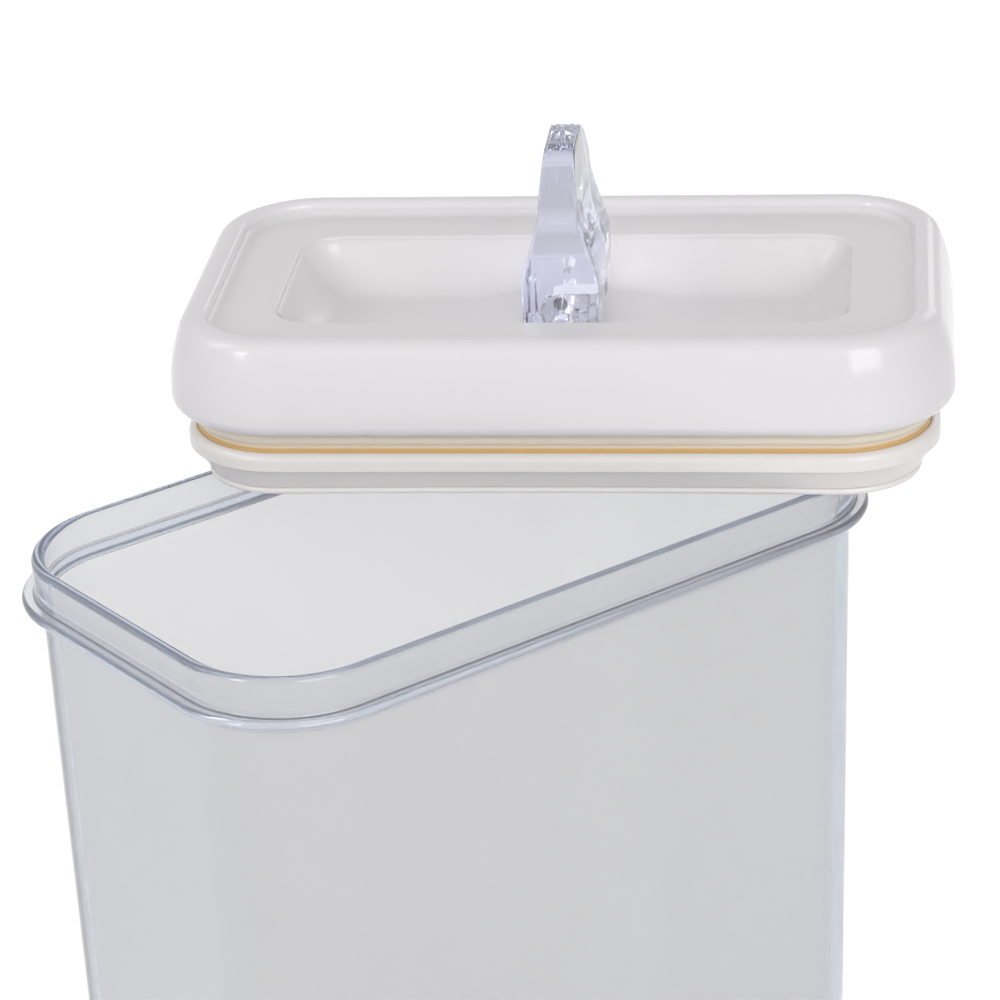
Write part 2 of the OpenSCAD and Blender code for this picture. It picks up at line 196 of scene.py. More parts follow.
flip = next(joint for joint in frame["joints"] if joint["name"] == "lever_flip")
PIN = Vector(flip["pos_m"])
LID_TURN = -math.atan2(flip["axis"][0], flip["axis"][1])
LID_PLACE = Matrix.Translation((PIN.x, PIN.y, 0)) @ Matrix.Rotation(LID_TURN, 4, "Z")
PIN_UP = PIN.z / MM

# Mesh steps
CORNER_STEPS = 20
SIDE_STEPS = 24
CIRCLE_STEPS = 32
COIL_STEPS = 24
WIRE_STEPS = 12
CAM_STEPS = 12
BLADE_STEPS = 26
TIP_STEP = 3


# Mesh helpers

def arc(out, up, rad, start, end, steps=8, skip=0):
    """Points of a section along an arc, given its centre and its angles in degrees."""
    turns = [math.radians(start + (end - start) * i / steps) for i in range(skip, steps + 1)]
    return [(out + rad * math.cos(a), up + rad * math.sin(a)) for a in turns]


def ring(core_x, core_y, rad, up):
    """Points round a rounded rectangle at one height, given its corner centres."""
    corners = []
    for quarter in range(4):
        side_x = 1 if quarter in (0, 3) else -1
        side_y = 1 if quarter in (0, 1) else -1
        mid_x, mid_y = side_x * core_x, side_y * core_y
        turns = [(quarter + i / CORNER_STEPS) * math.pi / 2 for i in range(CORNER_STEPS + 1)]
        corners.append([Vector((mid_x + rad * math.cos(a), mid_y + rad * math.sin(a), up)) for a in turns])
    points = []
    for quarter, corner in enumerate(corners):
        following = corners[(quarter + 1) % 4][0]
        points += corner
        points += [corner[-1].lerp(following, i / SIDE_STEPS) for i in range(1, SIDE_STEPS)]
    return points


def new_piece(name, points, faces, place=None):
    """Makes a smooth mesh object from points in millimetres, with its normals outward."""
    mesh = bpy.data.meshes.new(name)
    mesh.from_pydata([Vector(p) * MM for p in points], [], faces)
    if place is not None:
        mesh.transform(place)
    shaped = bmesh.new()
    shaped.from_mesh(mesh)
    bmesh.ops.remove_doubles(shaped, verts=shaped.verts, dist=1e-6)
    bmesh.ops.recalc_face_normals(shaped, faces=shaped.faces)
    shaped.to_mesh(mesh)
    shaped.free()
    mesh.polygons.foreach_set("use_smooth", [True] * len(mesh.polygons))
    piece = bpy.data.objects.new(name, mesh)
    bpy.context.scene.collection.objects.link(piece)
    return piece


def even_normals(piece):
    """Weights the normals by face area, so that flats stay flat beside their rounded edges."""
    weighted = piece.modifiers.new("even_normals", "WEIGHTED_NORMAL")
    weighted.keep_sharp = True
    return piece


def loft(name, rings, closed=False, place=None):
    """Joins rings of equal counts into one skin, closed on itself or capped at both ends."""
    count = len(rings[0])
    points = [p for one in rings for p in one]
    faces = []
    pairs = len(rings) if closed else len(rings) - 1
    for j in range(pairs):
        low, high = j * count, ((j + 1) % len(rings)) * count
        faces += [(low + i, low + (i + 1) % count, high + (i + 1) % count, high + i) for i in range(count)]
    if not closed:
        faces.append(tuple(reversed(range(count))))
        faces.append(tuple(range((len(rings) - 1) * count, len(rings) * count)))
    return even_normals(new_piece(name, points, faces, place))


def sweep(name, section, place=None):
    """Sweeps a closed section of heights and distances out from the corner centres round the outline."""
    return loft(name, [ring(*CORE, out, up) for out, up in section], True, place)


def shrunk(points, share):
    """A ring drawn in towards its middle at the same height."""
    return [Vector((p.x * share, p.y * share, p.z)) for p in points]


def circle(rad):
    """Points round a level circle about the origin."""
    turns = [2 * math.pi * i / CIRCLE_STEPS for i in range(CIRCLE_STEPS)]
    return [Vector((rad * math.cos(a), rad * math.sin(a), 0)) for a in turns]


def rod(name, start, end, rad, place=None, taper=1.0):
    """A round rod between two points, with its end's radius changed by the taper."""
    start, end = Vector(start), Vector(end)
    turn = (end - start).to_track_quat("Z", "Y")
    ends = ((start, rad), (end, rad * taper))
    rings = [[middle + turn @ p for p in circle(wide)] for middle, wide in ends]
    return loft(name, rings, place=place)


def block(name, low, high, place=None):
    """A box between two corners."""
    corners = ((low[0], low[1]), (high[0], low[1]), (high[0], high[1]), (low[0], high[1]))
    rings = [[Vector((x, y, z)) for x, y in corners] for z in (low[2], high[2])]
    return loft(name, rings, place=place)


def cut(piece, *tools):
    """Takes the tools' solids out of a piece and removes the tools."""
    for tool in tools:
        carve = piece.modifiers.new("cut", "BOOLEAN")
        carve.operation = "DIFFERENCE"
        carve.solver = "EXACT"
        carve.object = tool
    piece.modifiers.remove(piece.modifiers["even_normals"])
    bpy.context.view_layer.update()
    shaped = piece.evaluated_get(bpy.context.evaluated_depsgraph_get())
    piece.data = bpy.data.meshes.new_from_object(shaped)
    piece.modifiers.clear()
    for tool in tools:
        bpy.data.objects.remove(tool)


def join(piece, *others):
    """Joins pieces into the first one."""
    with bpy.context.temp_override(active_object=piece, selected_editable_objects=[piece, *others]):
        bpy.ops.object.join()
    return piece


def soften(section, radius, steps=3, closed=True):
    """Rounds the sharp corners of a section and leaves its smooth stretches alone."""
    result = []
    count = len(section)
    for i, point in enumerate(section):
        here = Vector(point)
        if not closed and i in (0, count - 1):
            result.append(point)
            continue
        back = Vector(section[i - 1]) - here
        ahead = Vector(section[(i + 1) % count]) - here
        if back.length < 1e-6 or ahead.length < 1e-6:
            continue
        bend = math.pi - back.angle(ahead)
        if bend < math.radians(SMOOTH_BEND):
            result.append(point)
            continue
        reach = min(radius * math.tan(bend / 2), back.length * MOST_REACH, ahead.length * MOST_REACH)
        start, end = here + back.normalized() * reach, here + ahead.normalized() * reach
        for k in range(steps + 1):
            t = k / steps
            mixed = start * (1 - t) ** 2 + here * 2 * t * (1 - t) + end * t ** 2
            result.append((mixed.x, mixed.y))
    return result


# Materials

TONE_SCALE = 14.0
SATIN_SCALE = 60.0
WAVE_SCALE = 45.0
WAVE_H = 0.00006
ROUGH_SPREAD = 0.04
HAZE_SCALE = 25.0
CLEAR_WAVE_SCALE = 18.0


def adder(tree):
    """A function that adds nodes to a tree and sets their sockets or properties."""
    def add(kind, **values):
        node = tree.nodes.new(kind)
        for key, value in values.items():
            if key in node.inputs:
                node.inputs[key].default_value = value
            else:
                setattr(node, key, value)
        return node

    return add


def new_material(name):
    """A node material with its Principled shader, its node tree and a function that adds nodes."""
    material = bpy.data.materials.new(name)
    material.use_nodes = True
    tree = material.node_tree
    shader = tree.nodes["Principled BSDF"]
    return material, tree, shader, adder(tree)


def noise(tree, add, scale, detail=3.0, stretch=None):
    """Noise over the object's own coordinates, or stretched along the lid's axes to lengths in metres."""
    place = add("ShaderNodeTexCoord")
    pattern = add("ShaderNodeTexNoise", Scale=scale, Detail=detail)
    source = place.outputs["Object"]
    if stretch:
        mapping = add("ShaderNodeMapping", vector_type="TEXTURE", Rotation=(0, 0, LID_TURN), Scale=stretch)
        tree.links.new(source, mapping.inputs["Vector"])
        source = mapping.outputs["Vector"]
    tree.links.new(source, pattern.inputs["Vector"])
    return pattern.outputs["Fac"]


def ranged(tree, add, source, low, high):
    """Maps a noise to a range of values."""
    spread = add("ShaderNodeMapRange")
    for key, value in {"From Min": 0.3, "From Max": 0.7, "To Min": low, "To Max": high}.items():
        spread.inputs[key].default_value = value
    tree.links.new(source, spread.inputs["Value"])
    return spread.outputs["Result"]


def bump(tree, add, shader, source, distance):
    """Raises the surface by a noise, with its height in metres."""
    node = add("ShaderNodeBump", Strength=1.0, Distance=distance)
    tree.links.new(source, node.inputs["Height"])
    tree.links.new(node.outputs["Normal"], shader.inputs["Normal"])


def plastic(name, colour, rough, depth=0.0):
    """Moulded opaque plastic: faint waves in the gloss, small changes of roughness and of tone."""
    material, tree, shader, add = new_material(name)
    tone = add("ShaderNodeMix", data_type="RGBA")
    tone.inputs["A"].default_value = (*[c * 0.97 for c in colour], 1)
    tone.inputs["B"].default_value = (*colour, 1)
    tree.links.new(noise(tree, add, TONE_SCALE), tone.inputs["Factor"])
    tree.links.new(tone.outputs["Result"], shader.inputs["Base Color"])
    satin = noise(tree, add, SATIN_SCALE)
    roughness = ranged(tree, add, satin, rough - ROUGH_SPREAD, rough + ROUGH_SPREAD)
    tree.links.new(roughness, shader.inputs["Roughness"])
    bump(tree, add, shader, noise(tree, add, WAVE_SCALE, 2.0), WAVE_H)
    if depth:
        shader.inputs["Subsurface Weight"].default_value = depth
        shader.inputs["Subsurface Radius"].default_value = (1.0, 0.9, 0.8)
        shader.inputs["Subsurface Scale"].default_value = 0.002
    return material


def silicone(name, pale, amber_and_shade, low, high):
    """Soft silicone, pale where it bulges; at its recessed neck its amber tint is darkened by painted
    shade.
    """
    material = plastic(name, pale, 0.35, depth=0.3)
    tree, add = material.node_tree, adder(material.node_tree)
    shader = tree.nodes["Principled BSDF"]
    parts = add("ShaderNodeSeparateXYZ")
    tree.links.new(add("ShaderNodeTexCoord").outputs["Object"], parts.inputs["Vector"])
    height = add("ShaderNodeMapRange")
    height.inputs["From Min"].default_value = low * MM
    height.inputs["From Max"].default_value = high * MM
    tree.links.new(parts.outputs["Z"], height.inputs["Value"])
    tone = add("ShaderNodeMix", data_type="RGBA")
    tone.inputs["A"].default_value = (*amber_and_shade, 1)
    tree.links.new(shader.inputs["Base Color"].links[0].from_socket, tone.inputs["B"])
    tree.links.new(height.outputs["Result"], tone.inputs["Factor"])
    tree.links.new(tone.outputs["Result"], shader.inputs["Base Color"])
    return material


def clear_plastic(name, colour, clearness, density, tint, wave=0.00002, streaks=None):
    """Polished clear plastic with a little haze, whose colour deepens with the light's way through it."""
    material, tree, shader, add = new_material(name)
    shader.inputs["Base Color"].default_value = (*colour, 1)
    shader.inputs["Transmission Weight"].default_value = clearness
    shader.inputs["IOR"].default_value = 1.49
    roughness = ranged(tree, add, noise(tree, add, HAZE_SCALE), 0.0, 0.03)
    tree.links.new(roughness, shader.inputs["Roughness"])
    scale = 1.0 if streaks else CLEAR_WAVE_SCALE
    bump(tree, add, shader, noise(tree, add, scale, 1.0, streaks), wave)
    let_through = add("ShaderNodeBsdfTransparent", Color=(*colour, 1))
    share = add("ShaderNodeMath", operation="MULTIPLY")
    share.inputs[1].default_value = 0.9
    tree.links.new(add("ShaderNodeLightPath").outputs["Is Shadow Ray"], share.inputs[0])
    both = add("ShaderNodeMixShader")
    tree.links.new(share.outputs[0], both.inputs["Fac"])
    tree.links.new(shader.outputs[0], both.inputs[1])
    tree.links.new(let_through.outputs[0], both.inputs[2])
    out = tree.nodes["Material Output"]
    tree.links.new(both.outputs[0], out.inputs["Surface"])
    inside = add("ShaderNodeVolumeAbsorption", Color=(*tint, 1), Density=density)
    tree.links.new(inside.outputs["Volume"], out.inputs["Volume"])
    return material


def dress(piece, material, body, slot, *nodes):
    """Gives a piece its material and its body, and hides the nodes that it stands for; its slot is not
    used.
    """
    piece.data.materials.clear()
    piece.data.materials.append(material)
    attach(piece, body)
    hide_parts(*nodes)


CLEAR_BODY = clear_plastic("clear_body", (0.875, 0.845, 0.807), 0.86, 75.0, (0.37, 0.55, 0.85))
CLEAR_LEVER = clear_plastic(
    "clear_lever", (0.985, 0.985, 0.985), 0.96, 8.0, (0.36, 0.42, 0.84), 0.0002, (0.002, 0.04, 0.03))
PIN_PLASTIC = plastic("pin_plastic", (0.72, 0.75, 0.86), 0.2)
# The tray's white is a little greyer than the cover's: painted shade for the upward-facing ledge beside the
# cover's lit front
WHITE_COVER = plastic("white_cover", (0.84, 0.815, 0.835), 0.14, depth=0.15)
WHITE_TRAY = plastic("white_tray", (0.82, 0.80, 0.805), 0.2, depth=0.15)
WHITE_PLATE = plastic("white_plate", (0.87, 0.835, 0.82), 0.22, depth=0.15)
INNER_WHITE = plastic("inner_white", (0.75, 0.75, 0.75), 0.5)
# The seal's neck colour is the silicone's amber tint plus painted shade for the recess between bulb and lip
SILICONE = silicone(
    "seal_silicone", (0.86, 0.79, 0.67), (0.70, 0.45, 0.19), LIP_TOP + 0.6, LIP_TOP + 1.3)
SCREW_STEEL = plastic("screw_steel", (0.6, 0.6, 0.62), 0.34)
SPRING_STEEL = plastic("spring_steel", (0.55, 0.56, 0.6), 0.35)
for steel in (SCREW_STEEL, SPRING_STEEL):
    steel.node_tree.nodes["Principled BSDF"].inputs["Metallic"].default_value = 1.0


# Container

def container():
    """The clear container: underside, wall, flange, collar, rim, and the inside with thicker corners."""
    flange_top = RIM_TOP - COLLAR_H
    flange_low = flange_top - FLANGE_T
    top_out = CORNER_RAD - BODY_STEP
    low_out = top_out - DRAFT * (flange_low - FOOT_RAD)
    mouth = CORNER_RAD - COLLAR_WALL
    half = FLANGE_T / 2
    crest = COLLAR_WALL / 2
    recess_out = low_out - FOOT_RAD - STAND_WID
    section = [(recess_out - RECESS_SLOPE, RECESS), (recess_out, 0.0)]
    section += arc(low_out - FOOT_RAD, FOOT_RAD, FOOT_RAD, -90, 0, 10)
    section += [(top_out, flange_low)]
    section += arc(CORNER_RAD + FLANGE_OUT - half, flange_low + half, half, -90, 90, 12)
    section += [(CORNER_RAD, flange_top)]
    section += arc(CORNER_RAD - crest, RIM_TOP - crest, crest, 0, 180, 14)
    section += [(mouth, flange_low + STEP_BLEND), (top_out - BODY_WALL, flange_low - STEP_BLEND)]
    section += arc(low_out - BODY_WALL - INNER_FOOT, FLOOR_T + INNER_FOOT, INNER_FOOT, 0, -90, 10)
    rings = []
    past_rim = False
    for out, up in soften(section, CONTAINER_SOFT, closed=False):
        past_rim = past_rim or up > RIM_TOP - RIM_NEAR
        thick = CORNER_THICK if past_rim and up < flange_low - CORNER_START else 0
        rings.append(ring(CORE[0] - thick, CORE[1] - thick, out + thick, up))
    piece = loft("container_clear", rings)
    dress(piece, CLEAR_BODY, "container", "clear_body", "container_body")


# Lid

def cover():
    """The lid's cover, with its bowed side, crest and shelf; gives how far out its inner rim stands."""
    bow_mid = COVER_LOW + ROLL_RAD
    shoulder_mid = COVER_TOP - SHOULDER_RAD
    turn = math.degrees(math.asin((shoulder_mid - bow_mid) / (BOW_RAD - SHOULDER_RAD)))
    shoulder_x = COVER_RAD - BOW_RAD + (BOW_RAD - SHOULDER_RAD) * math.cos(math.radians(turn))
    rim_in = shoulder_x - RIM_WID
    foot_x = COVER_RAD - ROLL_RAD
    foot_in = foot_x - SEAM_GAP
    shelf_top = LEDGE_TOP - TRAY_T
    shelf_low = shelf_top - TRAY_T
    section = [(foot_in, COVER_LOW)]
    section += arc(foot_x, bow_mid, ROLL_RAD, -90, 0, 12)
    section += arc(COVER_RAD - BOW_RAD, bow_mid, BOW_RAD, 0, turn, 10, 1)
    section += arc(shoulder_x, shoulder_mid, SHOULDER_RAD, turn, 90, 12, 1)
    section += arc(rim_in + RIM_ROLL, COVER_TOP - RIM_ROLL, RIM_ROLL, 90, 180, 8)
    section += [(rim_in, shelf_top), (rim_in - SHELF_WID, shelf_top), (rim_in - SHELF_WID, shelf_low)]
    section += [(rim_in + RIM_WALL, shelf_low), (rim_in + RIM_WALL, COVER_TOP - COVER_WALL)]
    section += arc(shoulder_x, shoulder_mid, SHOULDER_RAD - COVER_WALL, 90, turn, 4)
    section += arc(COVER_RAD - BOW_RAD, bow_mid, BOW_RAD - COVER_WALL, turn, 0, 4, 1)
    section += arc(foot_x, bow_mid, ROLL_RAD - COVER_WALL, 0, -90, 4, 1)
    section += [(foot_in, COVER_LOW + COVER_WALL)]
    piece = sweep("cover_shell", soften(section, COVER_SOFT), place=LID_PLACE)
    dress(piece, WHITE_COVER, "lid", "white_cover", "lid_cover")
    return rim_in


def narrowed(point, amount):
    """Draws a point of the pocket in towards the lid's long middle line, except beside the lever's foot."""
    start, end = FOOT_ROOM
    share = min(max((abs(point.x) - start) / (end - start), 0), 1)
    amount *= share * share * (3 - 2 * share)
    return Vector((point.x, point.y - math.copysign(min(amount, abs(point.y)), point.y), point.z))


def tray(rim_in):
    """The lid's tray: ledge, pocket with its rounded edge and coved floor, and the slot for the stem."""
    shelf_top = LEDGE_TOP - TRAY_T
    floor = TRAY_LOW + TRAY_T
    outer = rim_in + TRAY_LAP
    fillet = COVER_TOP - RIM_ROLL - LEDGE_TOP
    cove_up = floor + COVE_RAD
    cove_out = POCKET_RAD - WALL_LEAN - COVE_RAD
    edge = POCKET_RAD + EDGE_RAD
    tuck = LEDGE_TOP + fillet + TUCK_H
    rings = [ring(*CORE, outer + TUCK_WID, shelf_top), ring(*CORE, outer + TUCK_WID, tuck)]
    rings.append(ring(*CORE, outer, tuck))
    curve = arc(outer, LEDGE_TOP + fillet, fillet, 0, -90, 8)
    rings += [ring(*CORE, outer - (outer + fillet - out) * RIM_SPREAD, up) for out, up in curve]
    pocket = [(edge + EDGE_FLAT, LEDGE_TOP)]
    pocket += arc(edge, LEDGE_TOP - EDGE_RAD, EDGE_RAD, 90, 180, 8)
    rings += [ring(*POCKET_CORE, out, up) for out, up in pocket]
    lean = math.radians(COVE_LEAN)
    drop = LEDGE_TOP - EDGE_RAD - floor
    cove = []
    for out, up in arc(0, 0, 1, -COVE_LEAN, -90, 18):
        low = (-up - math.sin(lean)) / (1 - math.sin(lean))
        cove.append((cove_out + COVE_RAD * out / math.cos(lean), floor + drop * (1 - low)))
    cove.append((cove_out - FLOOR_IN, floor))
    for out, up in cove:
        share = min((cove_out + COVE_RAD - out) / COVE_RAD, 1)
        wide = ring(POCKET_CORE[0] - (END_COVE - COVE_RAD) * share, POCKET_CORE[1], out, up)
        rings.append([narrowed(p, SIDE_COVE * share) for p in wide])
    slot = (SLOT_HALF[0] - SLOT_RAD, SLOT_HALF[1] - SLOT_RAD)
    rings += [ring(*slot, SLOT_RAD + SLOT_EDGE, floor), ring(*slot, SLOT_RAD, floor - SLOT_EDGE)]
    rings += [ring(*slot, SLOT_RAD, TRAY_LOW)]
    under = [(UNDER_START, TRAY_LOW)] + arc(cove_out, cove_up, COVE_RAD + TRAY_T, -90, -4, 10)
    under += [(POCKET_RAD + TRAY_T, shelf_top)]
    rings += [ring(*POCKET_CORE, out, up) for out, up in under]
    piece = loft("tray_inlay", rings, closed=True, place=LID_PLACE)
    dress(piece, WHITE_TRAY, "lid", "white_tray", "lid_tray")


def bowed(points):
    """Raises the middle of a ring of the plate, most at the lid's lowest face and not at all at the lip."""
    lowness = (LIP_TOP - points[0].z) / (LIP_TOP - LID_LOW)
    reach = CORE[0] + LIP_RAD
    return [Vector((p.x, p.y, p.z + PLATE_BOW * lowness * (1 - (p.x / reach) ** 2))) for p in points]


def filled(section, middle=(0.75, 0.5, 0.25, 0.02)):
    """Rings of a plate from its middle underneath, round its edge and back to its middle on top."""
    rings = [ring(*CORE, out, up) for out, up in section]
    under = [shrunk(rings[0], share) for share in reversed(middle)]
    over = [shrunk(rings[-1], share) for share in middle]
    return [bowed(one) for one in under + rings + over]


def press_plate():
    """The plate: slanted skirt, rounded lip, the groove that holds the seal, and the springs' posts."""
    seal_out = LIP_RAD - SEAL_INSET
    seal_in = seal_out - SEAL_WID
    skirt_low = LID_LOW + CAP_T + GROOVE_GAP
    step = LIP_RAD - LIP_STEP
    groove = LIP_TOP - SEAL_SINK
    inner = seal_in - PLATE_T
    plate_top = LIP_LOW + PLATE_T
    section = [(PLATE_START, LIP_LOW), (step - PLATE_T, LIP_LOW), (SKIRT_RAD - PLATE_T, skirt_low)]
    section += [(SKIRT_RAD, skirt_low), (step, LIP_LOW)]
    section += arc(LIP_RAD - LIP_UNDER, LIP_LOW + LIP_UNDER, LIP_UNDER, -90, 0, 5)
    section += arc(LIP_RAD - LIP_ROUND, LIP_TOP - LIP_ROUND, LIP_ROUND, 0, 90, 8)
    section += [(seal_out + GROOVE_GAP, LIP_TOP), (seal_out + GROOVE_GAP, groove)]
    section += [(seal_in - GROOVE_GAP, groove), (seal_in - GROOVE_GAP, LIP_TOP)]
    section += [(inner, LIP_TOP), (inner, plate_top), (PLATE_START, plate_top)]
    piece = loft("plate_lip", filled(soften(section, PLATE_SOFT, closed=False)), place=LID_PLACE)
    posts = []
    for out in (-SPRING_OUT, SPRING_OUT):
        posts.append(rod("post", (out, 0, plate_top), (out, 0, POST_TOP), POST_RAD, LID_PLACE))
    dress(join(piece, *posts), WHITE_PLATE, "press", "white_plate", "press_plate")


def plate_cap():
    """The cap that closes the skirt, with its rounded edge and the low wall inside."""
    half = CAP_T / 2
    hold = SKIRT_RAD - PLATE_T - SEAM_GAP
    top = LID_LOW + CAP_T
    section = [(PLATE_START, LID_LOW)] + arc(CAP_RAD - half, LID_LOW + half, half, -90, 90, 12)
    section += [(hold, top), (hold, top + HOLD_H), (hold - HOLD_WID, top + HOLD_H), (hold - HOLD_WID, top)]
    section += [(PLATE_START, top)]
    piece = loft("cap_with_bead", filled(soften(section, PLATE_SOFT, closed=False)), place=LID_PLACE)
    dress(piece, WHITE_PLATE, "press", "white_plate", "plate_cap")


def seal():
    """The silicone seal: foot in its groove, narrow neck, soft bulb below the deck, and a notch inside."""
    out = LIP_RAD - SEAL_INSET
    inner = out - SEAL_WID
    foot = LIP_TOP - SEAL_SINK
    neck = out - NECK_IN
    section = [(inner, foot), (out, foot), (out, LIP_TOP + SEAL_FOOT_UP)]
    section += [(neck, LIP_TOP + up) for up in NECK_UP]
    section += arc(neck - BULB_IN, LIP_TOP + BULB_UP, BULB_RAD, *BULB_TURNS)
    section += [(neck, SEAL_TOP), (inner, SEAL_TOP), (inner, LIP_TOP + NOTCH_UP[2])]
    section += [(inner + NOTCH_DEEP, LIP_TOP + NOTCH_UP[1]), (inner, LIP_TOP + NOTCH_UP[0])]
    piece = sweep("seal_ring", soften(section, SEAL_SOFT), place=LID_PLACE)
    dress(piece, SILICONE, "press", "seal_silicone", "seal_gasket")
    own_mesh(piece)


def springs():
    """The two coil springs over the plate, made at one fixed length; the real ones shorten as the plate is
    pulled up.
    """
    low, high = (level("plate_springs", side) for side in (0, 1))
    low, high = low + WIRE_RAD, high - WIRE_RAD
    count = COIL_TURNS * COIL_STEPS
    round_wire = [2 * math.pi * k / WIRE_STEPS for k in range(WIRE_STEPS)]
    pieces = []
    for side in (-1, 1):
        rings = []
        for i in range(count + 1):
            turn = 2 * math.pi * i / COIL_STEPS
            outward = Vector((math.cos(turn), math.sin(turn), 0))
            middle = Vector((side * SPRING_OUT, 0, low + (high - low) * i / count)) + outward * COIL_RAD
            around = [outward * math.cos(b) + Vector((0, 0, math.sin(b))) for b in round_wire]
            rings.append([middle + WIRE_RAD * p for p in around])
        pieces.append(loft("coil_springs", rings, place=LID_PLACE))
    piece = join(*pieces)
    dress(piece, SPRING_STEEL, "press", "spring_steel", "plate_springs")
    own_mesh(piece)


# Lever

def lever_half(up):
    """Half thickness of the lever at a height above its pin."""
    if up < SHOULDER_START:
        return FOOT_HALF
    if up < SHOULDER_END:
        share = (up - SHOULDER_START) / (SHOULDER_END - SHOULDER_START)
        return NECK_HALF + (FOOT_HALF - NECK_HALF) * (1 + math.cos(math.pi * share)) / 2
    return NECK_HALF + (TIP_HALF - NECK_HALF) * (up - SHOULDER_END) / (LEVER_UP - SHOULDER_END)


def lever_side(across):
    """Side view of the lever at a place across it: lower near its top corners, thinner at its edges."""
    past = max(abs(across) - (LEVER_HALF_WID - TIP_RAD), 0)
    top = LEVER_UP - TIP_RAD + math.sqrt(TIP_RAD ** 2 - past ** 2)
    near = max(abs(across) - (LEVER_HALF_WID - SIDE_ROUND), 0)
    thinner = SIDE_ROUND - math.sqrt(SIDE_ROUND ** 2 - near ** 2)
    rate = CAM_LIFT / (math.pi / 2)
    side = [(-FOOT_HALF + HEEL_CUT, -CAM_LOW + thinner)]
    for i in range(CAM_STEPS + 1):
        turn = math.radians(90 * i / CAM_STEPS)
        reach = CAM_LOW + rate * turn - thinner
        sine, cosine = math.sin(turn), math.cos(turn)
        side.append((reach * sine + rate * cosine, -reach * cosine + rate * sine))
    cap_low = top - TIP_ROUND
    blade = cap_low - SHOULDER_START
    heights = [SHOULDER_START + blade * i / BLADE_STEPS for i in range(BLADE_STEPS + 1)]
    side += [(lever_half(up) - thinner, up) for up in heights]
    tip = lever_half(cap_low) - thinner
    side += arc(tip - TIP_ROUND, cap_low, TIP_ROUND, 0, 90, 5, 1)
    side += arc(TIP_ROUND - tip, cap_low, TIP_ROUND, 90, 180, 5)
    side += [(thinner - lever_half(up), up) for up in reversed(heights[:-1])]
    side.append((-FOOT_HALF + thinner, -CAM_LOW + HEEL_CUT))
    return [Vector((out, across, PIN_UP + up)) for out, up in side]


def flip_lever():
    """The clear lever: cam foot, rounded tip, bore for the pin, slot for the eye and two relief holes."""
    turns = [math.radians(a) for a in range(0, 91, TIP_STEP)]
    corner = [(LEVER_HALF_WID - TIP_RAD) + TIP_RAD * math.sin(a) for a in turns]
    places = [-across for across in reversed(corner)] + corner
    piece = loft("lever_blade", [lever_side(across) for across in places], place=LID_PLACE)
    reach = LEVER_HALF_WID + OVERCUT
    below = PIN_UP - CAM_LOW - OVERCUT
    eye_rad, eye_half = EYE_ROOM
    tools = [rod("bore", (0, -reach, PIN_UP), (0, reach, PIN_UP), PIN_RAD, LID_PLACE)]
    tools.append(rod("eye_slot", (0, -eye_half, PIN_UP), (0, eye_half, PIN_UP), eye_rad, LID_PLACE))
    high = (SLOT_LAP, eye_half, PIN_UP)
    tools.append(block("stem_slot", (-eye_rad, -eye_half, below), high, LID_PLACE))
    high = (FOOT_HALF + OVERCUT, eye_half, PIN_UP + eye_rad - EYE_TUCK)
    tools.append(block("fold_slot", (0, -eye_half, below), high, LID_PLACE))
    for side in (-1, 1):
        start = (0, side * (LEVER_HALF_WID - RELIEF_DEEP), PIN_UP + RELIEF_UP)
        end = (0, side * reach, PIN_UP + RELIEF_UP)
        tools.append(rod("relief", start, end, RELIEF_RAD, LID_PLACE, RELIEF_TAPER))
    cut(piece, *tools)
    for face in piece.data.polygons:
        face.use_smooth = True
    sharp = piece.modifiers.new("sharp_edges", "EDGE_SPLIT")
    sharp.split_angle = math.radians(SHARP_TURN)
    dress(piece, CLEAR_LEVER, "lever", "clear_lever", "flip_lever")


container()
tray(cover())
press_plate()
plate_cap()
seal()
springs()
flip_lever()

CARRIED = {
    "lid_deck": INNER_WHITE, "deck_screws": SCREW_STEEL, "lever_pin": PIN_PLASTIC, "pull_stem": CLEAR_LEVER,
    "stem_screws": SCREW_STEEL}
for node, material in CARRIED.items():
    frame["nodes"][node].data.materials.clear()
    frame["nodes"][node].data.materials.append(material)


# Stage

LAMP_AIM = (0.03, 0.01, 0.25)
LAMP_DISTANCE = 2.3


def seen_white(tree, add):
    """1 for a ray from the camera, a reflection or a clear part, and 0 for the light on the object."""
    path = add("ShaderNodeLightPath")
    total = path.outputs["Is Camera Ray"]
    for kind in ("Is Glossy Ray", "Is Transmission Ray"):
        most = add("ShaderNodeMath", operation="MAXIMUM")
        tree.links.new(total, most.inputs[0])
        tree.links.new(path.outputs[kind], most.inputs[1])
        total = most.outputs[0]
    return total


def stage_floor():
    """A wide pale floor that looks white where no shadow falls."""
    size = 6.0
    mesh = bpy.data.meshes.new("floor")
    corners = [(-size, -size, 0), (size, -size, 0), (size, size, 0), (-size, size, 0)]
    mesh.from_pydata(corners, [], [(0, 1, 2, 3)])
    floor = bpy.data.objects.new("floor", mesh)
    bpy.context.scene.collection.objects.link(floor)
    material, tree, shader, add = new_material("floor_white")
    shader.inputs["Base Color"].default_value = (0.9, 0.9, 0.91, 1)
    shader.inputs["Roughness"].default_value = 0.9
    glow = add("ShaderNodeEmission")
    strength = add("ShaderNodeMath", operation="MULTIPLY")
    strength.inputs[1].default_value = 0.5
    tree.links.new(seen_white(tree, add), strength.inputs[0])
    tree.links.new(strength.outputs[0], glow.inputs["Strength"])
    both = add("ShaderNodeAddShader")
    tree.links.new(shader.outputs[0], both.inputs[0])
    tree.links.new(glow.outputs[0], both.inputs[1])
    tree.links.new(both.outputs[0], tree.nodes["Material Output"].inputs["Surface"])
    mesh.materials.append(material)


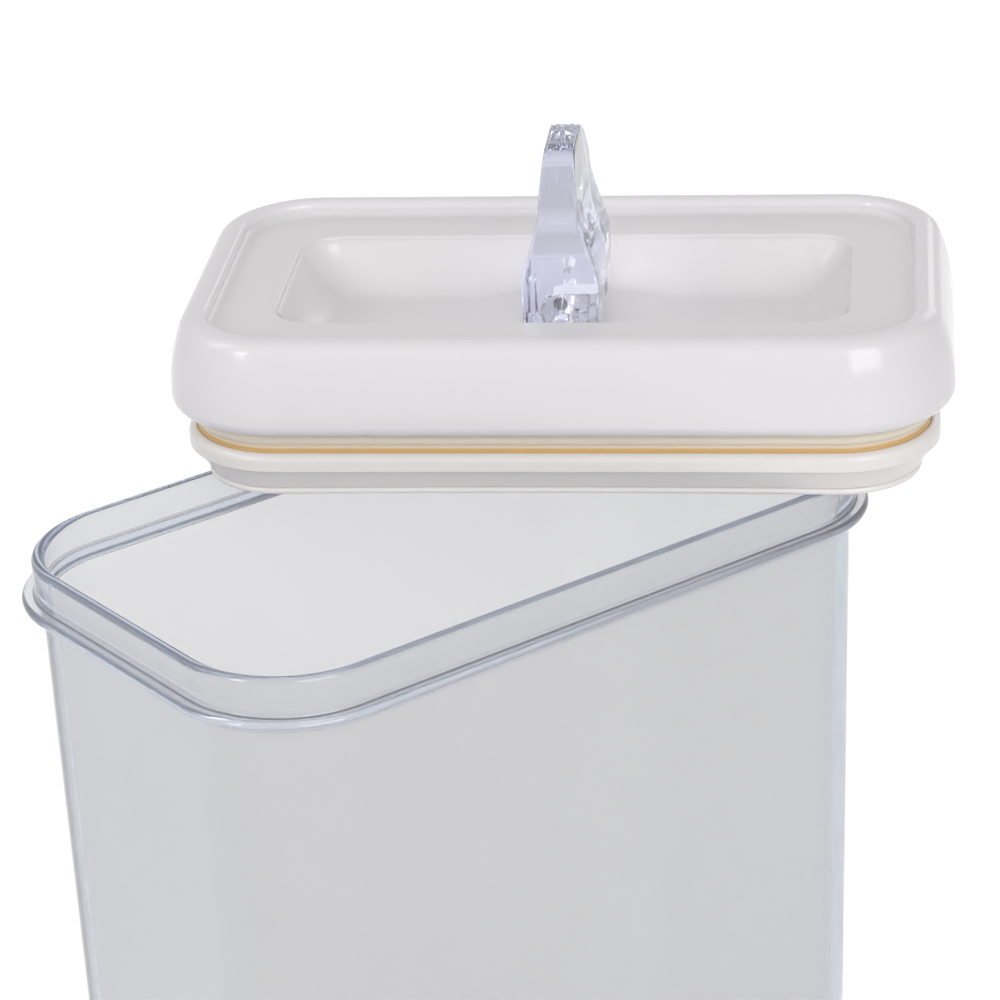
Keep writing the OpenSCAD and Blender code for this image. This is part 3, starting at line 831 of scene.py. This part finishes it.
def stage_world():
    """An even pale studio, white where the camera sees it."""
    world = bpy.data.worlds.new("studio")
    world.use_nodes = True
    bpy.context.scene.world = world
    tree = world.node_tree
    background = tree.nodes["Background"]
    background.inputs["Color"].default_value = (1, 1, 1, 1)
    strength = tree.nodes.new("ShaderNodeMapRange")
    strength.inputs["To Min"].default_value = 0.4
    strength.inputs["To Max"].default_value = 1.0
    tree.links.new(seen_white(tree, adder(tree)), strength.inputs["Value"])
    tree.links.new(strength.outputs["Result"], background.inputs["Strength"])


def lamp(name, azimuth, elevation, size, power):
    """A soft lamp that faces the object, placed by its direction from it in degrees."""
    data = bpy.data.lights.new(name, "AREA")
    data.shape = "RECTANGLE"
    data.size, data.size_y = size
    data.energy = power
    light = bpy.data.objects.new(name, data)
    bpy.context.scene.collection.objects.link(light)
    turn, rise = math.radians(azimuth), math.radians(elevation)
    away = Vector((math.cos(turn) * math.cos(rise), math.sin(turn) * math.cos(rise), math.sin(rise)))
    light.location = Vector(LAMP_AIM) + away * LAMP_DISTANCE
    light.rotation_euler = away.to_track_quat("Z", "Y").to_euler()


def stage_camera():
    """The camera, solved from the photograph's edges: a long lens, a little above, rolled slightly."""
    azimuth, elevation, roll = math.radians(-36.78), math.radians(24.09), math.radians(-2.57)
    data = bpy.data.cameras.new("camera")
    data.sensor_width = 36.0
    data.lens = 137.68
    data.clip_start, data.clip_end = 0.05, 50
    camera = bpy.data.objects.new("camera", data)
    bpy.context.scene.collection.objects.link(camera)
    place = Matrix.Translation((-0.49013, -0.67546, 0.61292))
    turn = Matrix.Rotation(azimuth, 4, "Z") @ Matrix.Rotation(math.pi / 2 - elevation, 4, "X")
    camera.matrix_world = place @ (turn @ Matrix.Rotation(roll, 4, "Z"))
    bpy.context.scene.camera = camera


stage_floor()
stage_world()
stage_camera()
lamp("key", -102, 29, (1.3, 1.6), 21.0)
lamp("left", -175, 26, (0.45, 0.8), 8.0)
lamp("back_left", 146, 40, (0.8, 1.2), 6.0)
lamp("back_right", 26, 20, (0.7, 0.8), 1.6)
bpy.context.scene.view_settings.view_transform = "Standard"
